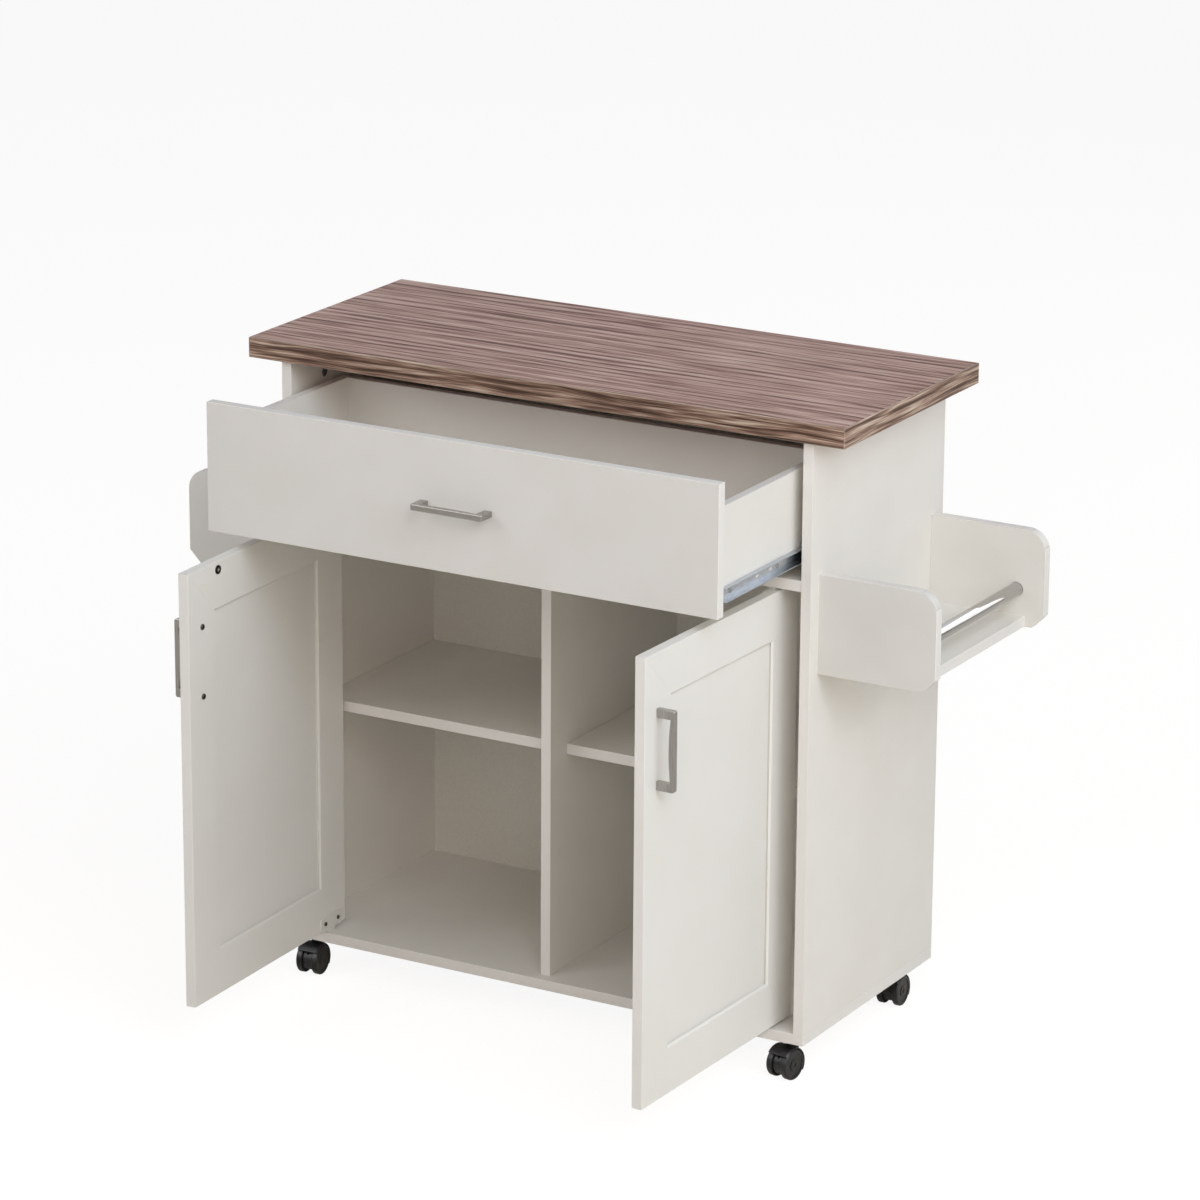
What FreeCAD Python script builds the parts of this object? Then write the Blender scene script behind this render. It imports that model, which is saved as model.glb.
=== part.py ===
import FreeCAD, Part
import math
import os

# Rolling kitchen island: a faced-board cabinet with a drawer over two bays, a pair of inset
# framed doors on pivot pins, an open rack with a towel bar on each side, and four casters.
# Millimetres. X runs to the right along the front, Y runs to the back, Z runs up.
# The origin lies on the floor, in the middle of the outline that the island has with its
# doors and drawer as they stand here: doors open, drawer part way out.

# Boards and edges
board = 15.0                     # faced chipboard of the carcass, shelves and racks
edge_soften = 0.8                # rounding of the edge-banded edges
overrun = 2.0                    # how far a cutter passes the face that it opens

# Carcass
carcass_width = 810.0
carcass_depth = 380.0
door_opening_height = 611.0      # bottom board to the fixed shelf under the drawer
drawer_opening_height = 186.0    # fixed shelf to the worktop
divider_setback = 17.0           # the divider stands behind the closed doors
back_panel = 3.0                 # hardboard back
back_inset = 15.0                # rear edges to the back panel
back_groove = 6.0                # depth of the grooves that hold the back panel
groove_play = 0.1                # play of a thin panel in its groove, each side

# Worktop
worktop_thickness = 28.0
worktop_side_overhang = 48.0
worktop_front_overhang = 8.0
worktop_edge = 1.2               # rounding of the laminate edge

# Loose shelves
shelf_setback = 60.0             # clears the hinge edges of the doors as they swing
shelf_level = 306.0              # bottom board to the underside of a shelf
shelf_play = 0.5                 # gap to the panels, each side
pin_diameter = 5.0
pin_in_board = 6.0
pin_under_shelf = 8.0
pin_from_edge = 40.0             # shelf edge to the pins

# Doors
door_thickness = 15.0
door_side_gap = 3.0
door_middle_gap = 3.0
door_end_gap = 3.5               # above and below a door
door_edge_round = 1.0
door_open_angle = 88.5           # how far the doors stand open
frame_flat = 63.0                # flat width of a stile or rail
frame_bevel = 3.0                # width of the bevel round the panel
frame_bevel_drop = 2.0           # depth of that bevel
frame_quirk = 2.0                # how far the groove under the bevel reaches into the frame
frame_recess = 5.0               # depth of the panel below the frame, front and back
panel_tongue = 10.0              # how far the panel enters the frame
panel_room = 0.5                 # room for the panel at the bottom of its groove
mitre_gap = 0.1

# Door pivots, at the top and bottom of each door
pivot_from_edge = 40.0           # pin axis from the hinge edge of the door
pivot_depth = 11.5               # pin axis behind the outer face of the door
pivot_plate_width = 53.0
pivot_plate_height = 20.0
pivot_plate = 2.0
pivot_plate_corner = 4.0
pivot_foot_width = 18.0
pivot_foot_front = 4.5           # foot in front of the pin axis
pivot_foot_gap = 0.3             # running gap between the foot and the board
pivot_pin = 5.0
pivot_pin_reach = 7.5            # pin in its bush
pivot_screw_spread = 16.5        # plate screws on each side of the pin axis
pivot_screw_height = 11.0        # plate screws from the door's edge
bush_outer = 8.0
bush_play = 0.1                  # pin in bush, all round
bush_floor = 1.0                 # room for the pin at the bottom of its bush

# Magnetic catches and the strike plates on the doors
strike_diameter = 12.0
strike_thickness = 1.5
strike_from_free_edge = 72.0
strike_from_top = 11.5
catch_gap = 0.3                  # strike to magnet with the door shut
catch_width = 24.0
catch_ear = 9.0
catch_ear_thickness = 2.5
catch_depth = 17.0
catch_below_pole = 7.0           # body below the line of the poles
pole_width = 18.0
pole_thickness = 1.2
pole_spread = 3.0                # pole plates above and below their line
pole_proud = 1.0
pole_embed = 6.0

# Bow handles of the doors and the drawer
handle_pitch = 96.0              # screw to screw
handle_foot = 12.0
handle_width = 8.0
handle_projection = 26.0
grip_end = 6.0                   # grip thickness beside the feet
grip_middle = 8.5                # grip thickness in the middle
handle_corner = 3.0
handle_soften = 1.0
door_handle_from_edge = 32.0     # handle line from the free edge of the door
door_handle_level = 480.0        # bottom board to the middle of a door handle

# Drawer
drawer_out = 212.0               # how far the drawer stands open
drawer_side_gap = 6.0            # front to the side panels
drawer_bottom_gap = 3.5          # front to the fixed shelf
drawer_top_gap = 6.0             # front to the worktop
drawer_wall = 12.0
drawer_box_length = 310.0
drawer_box_rise = 21.0           # fixed shelf to the lower edge of the box
drawer_box_height = 124.0
drawer_base = 3.0
drawer_base_rise = 14.0          # lower edge of the box to its base, above the runner screws
drawer_base_groove = 6.0

# Ball-bearing slides, one channel on the cabinet and one runner on the drawer, each side
slide_length = 300.0
slide_start = 17.0               # slides behind the carcass front
slide_gap = 12.7                 # drawer box to side panel
slide_wall = 1.1
channel_height = 27.0
channel_depth = 10.5
channel_lip = 2.0
runner_height = 19.0
runner_depth = 9.0
runner_round = 2.0
runner_rise = 9.5                # lower edge of the box to the middle of the runner
runner_hole = 4.6
runner_hole_slot = 5.0           # extra length of a slotted hole
runner_hole_start = 98.0         # open holes from the runner's front
runner_hole_pitch = 35.5
runner_screw_end = 24.0          # end screws from the runner's ends
ball_diameter = 2.5
balls_in_row = 5
ball_pitch = 13.0
cage_length = 70.0
cage_wall = 0.8
cage_home = slide_length / 2     # middle of the cage from the channel's front, drawer shut
cage_web_gap = 1.4               # cage to the channel's web
cage_travel_share = 0.5          # cage travel, share of the drawer's
cage_flange = 5.5
ball_hole_play = 0.1

# Side racks
rack_projection = 170.0
rack_height = 135.0
rack_level = 497.0               # bottom board's top to the underside of the rack
rack_setback = 21.0              # rack ends behind the front and before the back
rack_corner = 30.0
rack_chamfer = 18.0
tray_inset = 28.0                # tray behind the outer edge of the rack ends
bar_diameter = 19.0
bar_wall = 1.2
bar_inset = 41.0                 # bar axis from the outer edge of the rack ends
bar_level = 51.0                 # bar axis above the underside of the rack
bar_seat = 10.0                  # depth of the bar in each rack end
bar_play = 0.3

# Casters
caster_height = 54.0
caster_side_inset = 30.0         # swivel axis from the carcass side
caster_front_inset = 27.5
caster_rear_inset = 42.0
caster_plate = 38.0
caster_plate_thickness = 2.5
plate_corner = 4.0
plate_screw_spread = 13.5
stem_diameter = 9.0
stem_play = 0.1
stem_reach = 9.0                 # stem in the hood
swivel_gap = 0.5                 # hood to plate
trail = 15.0                     # axle from the swivel axis
wheel_radius = 21.0
wheel_width = 9.0
wheel_round = 2.0
wheel_gap = 0.6                  # wheel to the web of the hood
well_gap = 1.1                   # wheel to the roof of the hood
hood_roof = 1.9
hood_web = 13.2
hood_neck = 18.0                 # diameter of the hood round the stem
hood_clearance = 9.0             # hood to the floor
hood_round = 3.0
mouth_inset = 5.0                # open side of the hood, from the axle
mouth_top = 37.0                 # lip of the open side above the floor
web_radius = 17.5                # web of the hood where it is open
web_hole = 3.0
web_hole_level = 32.0
web_hole_floor = 8.0             # floor of the hole, from the axle
axle_diameter = 6.0
axle_play = 0.1
hub_radius = 8.0
dish_radius = 16.5
dish_depth = 0.7
swivel_turns = {"front_left": 4.6, "front_right": -9.8, "rear_left": 5.0, "rear_right": 1.6}

# Cam fittings
cam_diameter = 15.0
cam_depth = 12.5
cam_height = 11.5
cam_sunk = 0.8
cam_play = 0.2
cam_slot = 1.4
cam_slot_depth = 2.0
cam_slot_length = 10.0
cam_bolt = 6.0
cam_thread = 5.0
cam_thread_length = 11.0
cam_from_worktop = 32.0
cam_from_edge = 84.0             # worktop cams from the front and back
shelf_cam_from_panel = 24.0
shelf_cam_from_front = 60.0

# Screws: small ones for the hardware, machine screws for the handles, long ones for boards
small_head = 6.0
small_rise = 1.7
small_shank = 3.0
small_length = 12.0
machine_head = 8.0
machine_rise = 2.2
machine_shank = 4.0
machine_bite = 10.0              # thread in the handle's foot
long_head = 9.0
long_sink = 4.0
long_shank = 5.0
long_length = 46.0
screw_play = 0.1
slot_width = 0.9
slot_depth = 1.0
bottom_screw_share = 0.25        # bottom board screws, share of the depth from each edge
rack_screw_share = 0.22          # rack screws, share of the rack height from each edge
channel_screw_share = 0.1        # channel screws, share of the slide from each end

# Shares that belong to shapes
crown_share = 0.5                # rounding of a screw head, share of its rise
slot_length_share = 0.62         # cross slot, share of the screw head
near_share = 0.001               # how close an edge must lie to a plane to count as on it

V = FreeCAD.Vector
RIGHT = V(1, 0, 0)
BACK = V(0, 1, 0)
UP = V(0, 0, 1)

# Levels and planes that the pieces share
half_width = carcass_width / 2
half_inside = half_width - board
bottom_low = caster_height
bottom_top = bottom_low + board
shelf_low = bottom_top + door_opening_height
shelf_top = shelf_low + board
worktop_low = shelf_top + drawer_opening_height
worktop_top = worktop_low + worktop_thickness
door_width = half_inside - door_side_gap - door_middle_gap / 2
door_height = door_opening_height - 2 * door_end_gap
door_low = bottom_top + door_end_gap
door_swing = math.radians(door_open_angle)
door_reach = ((door_width - pivot_from_edge) * math.sin(door_swing)
              + pivot_depth * math.cos(door_swing) - pivot_depth)
drawer_reach = drawer_out + handle_projection
front = (max(door_reach, drawer_reach) - carcass_depth) / 2
rear = front + carcass_depth
back_front = rear - back_inset - back_panel
pin_x = half_inside - door_side_gap - pivot_from_edge
pin_y = front + pivot_depth


def block(x0, x1, y0, y1, z0, z1):
    """Plain box between six planes."""
    return Part.makeBox(x1 - x0, y1 - y0, z1 - z0, V(x0, y0, z0))


def along(edge, axis):
    """True when a straight edge runs along an axis."""
    first = edge.Vertexes[0].Point
    last = edge.Vertexes[-1].Point
    return (last - first).cross(axis).Length < near_share * (last - first).Length


def softened(shape, radius, *axes):
    """Round the edges along the named axes, or every edge when none is named."""
    edges = [edge for edge in shape.Edges if not axes or any(along(edge, a) for a in axes)]
    return shape.makeFillet(radius, edges)


def rod(diameter, start, end):
    """Round bar between two points."""
    return Part.makeCylinder(diameter / 2, (end - start).Length, start, end - start)


def prism(points, way):
    """Solid swept straight along way from a closed outline of points."""
    return Part.Face(Part.makePolygon(points + points[:1])).extrude(way)


def group(solids):
    """Separate solids that share one node."""
    return Part.makeCompound(solids)


def mirrored(shape):
    """The same piece on the other side of the island."""
    return shape.mirror(V(), RIGHT)


def moved(shape, way):
    """A copy of a piece, shifted."""
    copy = shape.copy()
    copy.translate(way)
    return copy


def seated(shape, seat, outward):
    """A piece modelled about the origin and facing up, set on its seat facing outward."""
    copy = shape.copy()
    copy.Placement = FreeCAD.Placement(seat, FreeCAD.Rotation(UP, outward))
    return copy


def cross_slot(head, level):
    """Cutter for the cross slot in a screw head whose top lies at level."""
    half = head * slot_length_share / 2
    low = level - slot_depth
    one = block(-half, half, -slot_width / 2, slot_width / 2, low, level + overrun)
    two = block(-slot_width / 2, slot_width / 2, -half, half, low, level + overrun)
    return one.fuse(two)


def pan_screw(head, rise, shank, length, seat, outward):
    """Domed screw with its head standing on the seat."""
    dome = Part.makeCylinder(head / 2, rise)
    rim = [edge for edge in dome.Edges if edge.BoundBox.ZMin > rise * (1 - near_share)]
    dome = dome.makeFillet(rise * crown_share, rim).cut(cross_slot(head, rise))
    stem = Part.makeCylinder(shank / 2, length, V(0, 0, -length))
    return seated(dome.fuse(stem), seat, outward)


def pan_hole(shank, length, seat, outward):
    """Bore for the shank of a domed screw."""
    wide = shank / 2 + screw_play
    deep = length + screw_play
    return seated(Part.makeCylinder(wide, deep + overrun, V(0, 0, -deep)), seat, outward)


def flat_screw(head, sink, shank, length, seat, outward):
    """Countersunk screw with its head flush with the seat."""
    cone = Part.makeCone(shank / 2, head / 2, sink, V(0, 0, -sink))
    stem = Part.makeCylinder(shank / 2, length - sink, V(0, 0, -length))
    return seated(cone.fuse(stem).cut(cross_slot(head, 0)), seat, outward)


def flat_hole(head, sink, shank, length, seat, outward):
    """Countersunk bore for a flush screw."""
    cone = Part.makeCone(shank / 2 + screw_play, head / 2 + screw_play, sink, V(0, 0, -sink))
    deep = length + screw_play
    stem = Part.makeCylinder(shank / 2 + screw_play, deep, V(0, 0, -deep))
    return seated(cone.fuse(stem), seat, outward)


def small_pan(seat, outward):
    return pan_screw(small_head, small_rise, small_shank, small_length, seat, outward)


def small_pan_hole(seat, outward):
    return pan_hole(small_shank, small_length, seat, outward)


def small_flat(seat, outward):
    return flat_screw(small_head, small_rise, small_shank, small_length, seat, outward)


def small_flat_hole(seat, outward):
    return flat_hole(small_head, small_rise, small_shank, small_length, seat, outward)


def long_flat(seat, outward):
    return flat_screw(long_head, long_sink, long_shank, long_length, seat, outward)


def long_flat_hole(seat, outward):
    return flat_hole(long_head, long_sink, long_shank, long_length, seat, outward)


def cam():
    """Cam disc facing up, its face sunk below the origin, with a cross slot."""
    disc = Part.makeCylinder(cam_diameter / 2 - cam_play, cam_height, V(0, 0, -cam_sunk - cam_height))
    half = cam_slot_length / 2
    low = -cam_sunk - cam_slot_depth
    one = block(-half, half, -cam_slot / 2, cam_slot / 2, low, 0)
    two = block(-cam_slot / 2, cam_slot / 2, -half, half, low, 0)
    return disc.cut([one, two])


def cam_pocket():
    """Pocket for a cam disc, opening upward at the origin."""
    return Part.makeCylinder(cam_diameter / 2, cam_depth + overrun, V(0, 0, -cam_depth))


# Places of the fixings on the left half of the carcass

def worktop_cams():
    """Worktop cams: place on the inner face of the left side panel, and its outward way."""
    level = worktop_low - cam_from_worktop
    rows = (front + cam_from_edge, rear - cam_from_edge)
    return [(V(-half_inside, y, level), RIGHT) for y in rows]


def shelf_cams():
    """Cams on the underside of the drawer shelf, beside the left side panel."""
    x = -half_inside + shelf_cam_from_panel
    rows = (front + shelf_cam_from_front, back_front - shelf_cam_from_front)
    return [(V(x, y, shelf_low), -UP) for y in rows]


def bolt_lines():
    """Cam bolts of the left half: middle of the cam, joint between the boards, and way."""
    lines = []
    for place, way in worktop_cams():
        centre = place - way * (board / 2)
        lines.append((centre, V(centre.x, centre.y, worktop_low), UP))
    for place, way in shelf_cams():
        centre = place - way * (board / 2)
        lines.append((centre, V(-half_inside, centre.y, centre.z), -RIGHT))
    return lines


def cam_bolts():
    """Bolts from the rims of their cams, with the thread in the next board."""
    bolts = []
    for centre, joint, way in bolt_lines():
        shank = rod(cam_bolt, centre + way * (cam_diameter / 2), joint)
        bolts.append(shank.fuse(rod(cam_thread, joint, joint + way * cam_thread_length)))
    return bolts


def cam_bolt_bores():
    """Bores of the cam bolts, from the middle of the cam pocket."""
    bores = []
    for centre, joint, way in bolt_lines():
        end = joint + way * (cam_thread_length + screw_play)
        wide = rod(cam_bolt + 2 * screw_play, centre, joint)
        bores.append(wide.fuse(rod(cam_thread + 2 * screw_play, joint, end)))
    return bores


def bottom_screws():
    """Screws up through the bottom board into the left side panel."""
    step = carcass_depth * bottom_screw_share
    rows = (front + step, front + carcass_depth / 2, rear - step)
    return [(V(-half_inside - board / 2, y, bottom_low), -UP) for y in rows]


def divider_screws():
    """Screws up through the bottom board into the divider."""
    step = carcass_depth * bottom_screw_share
    return [(V(0, y, bottom_low), -UP) for y in (front + step, rear - step)]


def rack_screws():
    """Screws from inside the cabinet through the left side panel into the rack ends."""
    low = bottom_top + rack_level
    levels = (low + rack_height * rack_screw_share, low + rack_height * (1 - rack_screw_share))
    rows = (front + rack_setback + board / 2, rear - rack_setback - board / 2)
    return [(V(-half_inside, y, z), RIGHT) for y in rows for z in levels]


def slide_level():
    """Middle of the slides."""
    return shelf_top + drawer_box_rise + runner_rise


def channel_screws():
    """Screws that hold the left slide channel."""
    start = front + slide_start
    step = slide_length * channel_screw_share
    rows = (start + step, start + slide_length / 2, start + slide_length - step)
    return [(V(-half_inside + slide_wall, y, slide_level()), RIGHT) for y in rows]


def shelf_pin_rows():
    """Pin rows of a loose shelf, from front to back."""
    return (front + shelf_setback + pin_from_edge, back_front - pin_from_edge)


def shelf_pin_list(x, way, play):
    """Pins in the face of a board at x, pointing along way into the bay."""
    level = bottom_top + shelf_level - pin_diameter / 2
    pins = []
    for y in shelf_pin_rows():
        start = V(x, y, level) - way * (pin_in_board + play)
        end = V(x, y, level) + way * pin_under_shelf
        pins.append(rod(pin_diameter + 2 * play, start, end))
    return pins


def caster_stems():
    """Swivel axes of the four casters, on the floor."""
    x = half_width - caster_side_inset
    near = front + caster_front_inset
    far = rear - caster_rear_inset
    return {
        "front_left": V(-x, near, 0),
        "front_right": V(x, near, 0),
        "rear_left": V(-x, far, 0),
        "rear_right": V(x, far, 0),
    }


def caster_screws():
    """Screws of the caster plates, into the bottom board."""
    level = bottom_low - caster_plate_thickness
    spread = (-plate_screw_spread, plate_screw_spread)
    return [(stem + V(dx, dy, level), -UP) for stem in caster_stems().values()
            for dx in spread for dy in spread]


def pivot_bores(diameter, depth):
    """Bores for the bushes of the left door, in the bottom board and the drawer shelf."""
    low = rod(diameter, V(-pin_x, pin_y, bottom_top - depth), V(-pin_x, pin_y, bottom_top))
    high = rod(diameter, V(-pin_x, pin_y, shelf_low), V(-pin_x, pin_y, shelf_low + depth))
    return [low, high]


def both_sides(shapes):
    """Shapes of the left side together with their mirror images."""
    return list(shapes) + [mirrored(shape) for shape in shapes]


# Carcass

def side_panel():
    """Left side panel, standing on the bottom board."""
    panel = softened(block(-half_width, -half_inside, front, rear, bottom_top, worktop_low),
                     edge_soften, UP)
    groove = block(-half_inside - back_groove, -half_inside + overrun,
                   back_front - groove_play, back_front + back_panel + groove_play,
                   bottom_top - overrun, worktop_low + overrun)
    cutters = [groove]
    cutters += [seated(cam_pocket(), place, way) for place, way in worktop_cams()]
    cutters += cam_bolt_bores()
    cutters += [long_flat_hole(place, way) for place, way in bottom_screws() + rack_screws()]
    cutters += [small_flat_hole(place, way) for place, way in channel_screws()]
    cutters += shelf_pin_list(-half_inside, RIGHT, screw_play)
    return panel.cut(cutters)


def bottom_board():
    """Board under the whole carcass, its edges showing all round."""
    slab = softened(block(-half_width, half_width, front, rear, bottom_low, bottom_top), edge_soften)
    groove = block(-half_inside - back_groove, half_inside + back_groove,
                   back_front - groove_play, back_front + back_panel + groove_play,
                   bottom_top - back_groove, bottom_top + overrun)
    cutters = [groove]
    cutters += both_sides(pivot_bores(bush_outer, bush_depth()))
    cutters += both_sides([long_flat_hole(place, way) for place, way in bottom_screws()])
    cutters += [long_flat_hole(place, way) for place, way in divider_screws()]
    cutters += [small_flat_hole(place, way) for place, way in caster_screws()]
    return slab.cut(cutters)


def bush_depth():
    """Depth of a pivot bush in its board."""
    return pivot_pin_reach + bush_floor


def drawer_shelf():
    """Fixed shelf between the drawer and the two bays."""
    slab = softened(block(-half_inside, half_inside, front, back_front, shelf_low, shelf_top),
                    edge_soften, RIGHT)
    cutters = both_sides(pivot_bores(bush_outer, bush_depth()))
    cutters += both_sides([seated(cam_pocket(), place, way) for place, way in shelf_cams()])
    cutters += both_sides(cam_bolt_bores())
    cutters += both_sides([small_pan_hole(place, way) for place, way in catch_screws()])
    return slab.cut(cutters)


def divider():
    """Upright between the two bays."""
    panel = softened(block(-board / 2, board / 2, front + divider_setback, back_front,
                           bottom_top, shelf_low), edge_soften, UP)
    cutters = [long_flat_hole(place, way) for place, way in divider_screws()]
    cutters += both_sides(shelf_pin_list(-board / 2, -RIGHT, screw_play))
    return panel.cut(cutters)


def loose_shelf():
    """Shelf of the left bay, lying on its pins."""
    low = bottom_top + shelf_level
    return softened(block(-half_inside + shelf_play, -board / 2 - shelf_play,
                          front + shelf_setback, back_front - shelf_play, low, low + board),
                    edge_soften, RIGHT)


def back():
    """Thin back, held in grooves on all four sides."""
    reach = back_groove - groove_play
    return block(-half_inside - reach, half_inside + reach, back_front, back_front + back_panel,
                 bottom_top - reach, worktop_low + reach)


def worktop():
    """Laminate worktop, overhanging at the sides and a little at the front."""
    half = half_width + worktop_side_overhang
    slab = softened(block(-half, half, front - worktop_front_overhang, rear,
                          worktop_low, worktop_top), worktop_edge)
    groove = block(-half_inside - back_groove, half_inside + back_groove,
                   back_front - groove_play, back_front + back_panel + groove_play,
                   worktop_low - overrun, worktop_low + back_groove)
    return slab.cut([groove] + both_sides(cam_bolt_bores()))


def shelf_pins():
    """Eight pins, four under each loose shelf."""
    left = shelf_pin_list(-half_inside, RIGHT, 0) + shelf_pin_list(-board / 2, -RIGHT, 0)
    return group(both_sides(left))


def cam_locks():
    """Cam discs and bolts of the worktop and of the drawer shelf."""
    cams = [seated(cam(), place, way) for place, way in worktop_cams() + shelf_cams()]
    return group(both_sides(cams + cam_bolts()))


def carcass_screws():
    """Screws of the bottom board, racks, slide channels, casters and catches."""
    left = [long_flat(place, way) for place, way in bottom_screws() + rack_screws()]
    left += [small_flat(place, way) for place, way in channel_screws()]
    left += [small_pan(place, way) for place, way in catch_screws()]
    middle = [long_flat(place, way) for place, way in divider_screws()]
    middle += [small_flat(place, way) for place, way in caster_screws()]
    return group(both_sides(left) + middle)


def pivot_bushes():
    """Plastic bushes for the door pins."""
    bores = pivot_bores(pivot_pin + 2 * bush_play, bush_depth())
    tubes = [outer.cut(bore) for outer, bore in zip(pivot_bores(bush_outer, bush_depth()), bores)]
    return group(both_sides(tubes))


# Magnetic catches

def catch_place():
    """Middle of the poles' front on the left catch."""
    return V(-door_middle_gap / 2 - strike_from_free_edge,
             front + door_thickness + strike_thickness + catch_gap,
             door_low + door_height - strike_from_top)


def catch_screws():
    """Screws up through the ears of the left catch."""
    place = catch_place()
    offset = (catch_width + catch_ear) / 2
    y = place.y + pole_proud + catch_depth / 2
    level = shelf_low - catch_ear_thickness
    return [(V(place.x + dx, y, level), -UP) for dx in (-offset, offset)]


def catch():
    """Left catch: plastic body with two ears, and two pole plates."""
    place = catch_place()
    y0 = place.y + pole_proud
    half = catch_width / 2
    body = block(place.x - half, place.x + half, y0, y0 + catch_depth,
                 place.z - catch_below_pole, shelf_low)
    body = softened(body, edge_soften, UP)
    reach = half + catch_ear
    ears = block(place.x - reach, place.x + reach, y0, y0 + catch_depth,
                 shelf_low - catch_ear_thickness, shelf_low)
    poles = []
    for side in (-1, 1):
        z = place.z + side * pole_spread
        poles.append(block(place.x - pole_width / 2, place.x + pole_width / 2,
                           place.y, y0 + pole_embed,
                           z - pole_thickness / 2, z + pole_thickness / 2))
    holes = [small_pan_hole(seat, way) for seat, way in catch_screws()]
    return [body.fuse(ears).cut(poles + holes)] + poles


def magnetic_catches():
    """The catches of both doors, under the drawer shelf."""
    return group(both_sides(catch()))


# Side racks

def rack_end(y0):
    """Left rack end: outer top corner rounded, outer bottom corner cut off."""
    low = bottom_top + rack_level
    high = low + rack_height
    inner = -half_width
    outer = inner - rack_projection
    middle = V(outer + rack_corner * (1 - math.sqrt(0.5)), y0,
               high - rack_corner * (1 - math.sqrt(0.5)))
    corner = Part.Arc(V(outer + rack_corner, y0, high), middle, V(outer, y0, high - rack_corner))
    points = [V(outer, y0, high - rack_corner), V(outer, y0, low + rack_chamfer),
              V(outer + rack_chamfer, y0, low), V(inner, y0, low), V(inner, y0, high),
              V(outer + rack_corner, y0, high)]
    sides = [Part.makeLine(a, b) for a, b in zip(points, points[1:])]
    outline = Part.Wire([corner.toShape()] + sides)
    shape = Part.Face(outline).extrude(BACK * board)
    free = [edge for edge in shape.Edges
            if edge.BoundBox.XMax < inner - edge_soften * near_share and not along(edge, BACK)
            or edge.BoundBox.XLength > board]
    return shape.makeFillet(edge_soften, free)


def rack_front():
    """Front end of the left rack, with the blind seat of the bar."""
    y0 = front + rack_setback
    cutters = [bar_bore()] + [long_flat_hole(place, way) for place, way in rack_screws()]
    return rack_end(y0).cut(cutters)


def rack_back():
    """Rear end of the left rack, with the blind seat of the bar."""
    y0 = rear - rack_setback - board
    cutters = [bar_bore()] + [long_flat_hole(place, way) for place, way in rack_screws()]
    return rack_end(y0).cut(cutters)


def bar_axis(reach):
    """Ends of the bar, reach deep in the rack ends."""
    x = -half_width - rack_projection + bar_inset
    z = bottom_top + rack_level + bar_level
    near = V(x, front + rack_setback + board - reach, z)
    far = V(x, rear - rack_setback - board + reach, z)
    return near, far


def bar_bore():
    """Cutter for the seats of the bar in both rack ends."""
    near, far = bar_axis(bar_seat + bar_play)
    return rod(bar_diameter + 2 * bar_play, near, far)


def rack_bar():
    """Chromed tube between the rack ends."""
    near, far = bar_axis(bar_seat)
    return rod(bar_diameter, near, far).cut(rod(bar_diameter - 2 * bar_wall, near, far))


def rack_tray():
    """Floor board of the left rack."""
    low = bottom_top + rack_level
    return softened(block(-half_width - rack_projection + tray_inset, -half_width,
                          front + rack_setback + board, rear - rack_setback - board,
                          low, low + board), edge_soften, BACK)


# Doors, modelled shut on the left side and then swung open

def frame_member(length):
    """Rail along X with mitred ends, its outer edge on Z = 0 and its outer face on Y = 0."""
    lip = frame_flat + frame_bevel
    deep = lip - panel_tongue - panel_room
    inner = door_thickness - frame_recess
    quirk = lip - frame_quirk
    back_bevel = door_thickness - frame_bevel_drop
    section = [V(0, 0, 0), V(0, 0, frame_flat), V(0, frame_bevel_drop, lip),
               V(0, frame_bevel_drop, quirk), V(0, frame_recess, quirk),
               V(0, frame_recess, deep), V(0, inner, deep), V(0, inner, quirk),
               V(0, back_bevel, quirk), V(0, back_bevel, lip),
               V(0, door_thickness, frame_flat), V(0, door_thickness, 0)]
    start = mitre_gap / math.sqrt(2)
    mitre = prism([V(start, 0, 0), V(length - start, 0, 0),
                   V(length - start - lip, 0, lip), V(start + lip, 0, lip)],
                  BACK * door_thickness)
    bar = prism(section, RIGHT * length).common(mitre)
    outer = [edge for edge in bar.Edges
             if along(edge, RIGHT) and edge.BoundBox.ZMax < frame_flat * near_share]
    return bar.makeFillet(door_edge_round, outer)


def shut_door(shape):
    """Carry a piece from the door's own frame to the shut left door."""
    return moved(shape, V(-half_inside + door_side_gap, front, door_low))


def swung(shape):
    """Swing a piece of the shut left door to its open place."""
    copy = shape.copy()
    copy.rotate(V(-pin_x, pin_y, 0), UP, -door_open_angle)
    return copy


def door_piece(solids):
    """Node of the left door from solids in the door's own frame."""
    return group([swung(shut_door(solid)) for solid in solids])


def handle_seats():
    """Handle screws on the inner face of a door, in the door's own frame."""
    x = door_width - door_handle_from_edge
    middle = door_handle_level - door_end_gap
    levels = (middle - handle_pitch / 2, middle + handle_pitch / 2)
    return [(V(x, door_thickness, z), BACK) for z in levels]


def pivot_seats():
    """Screws of the pivot plates, in the door's own frame."""
    face = door_thickness + pivot_plate
    levels = (pivot_screw_height, door_height - pivot_screw_height)
    sides = (pivot_from_edge - pivot_screw_spread, pivot_from_edge + pivot_screw_spread)
    return [(V(x, face, z), BACK) for z in levels for x in sides]


def strike_seat():
    """Middle of the strike plate's face, in the door's own frame."""
    return V(door_width - strike_from_free_edge, door_thickness + strike_thickness,
             door_height - strike_from_top)


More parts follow.
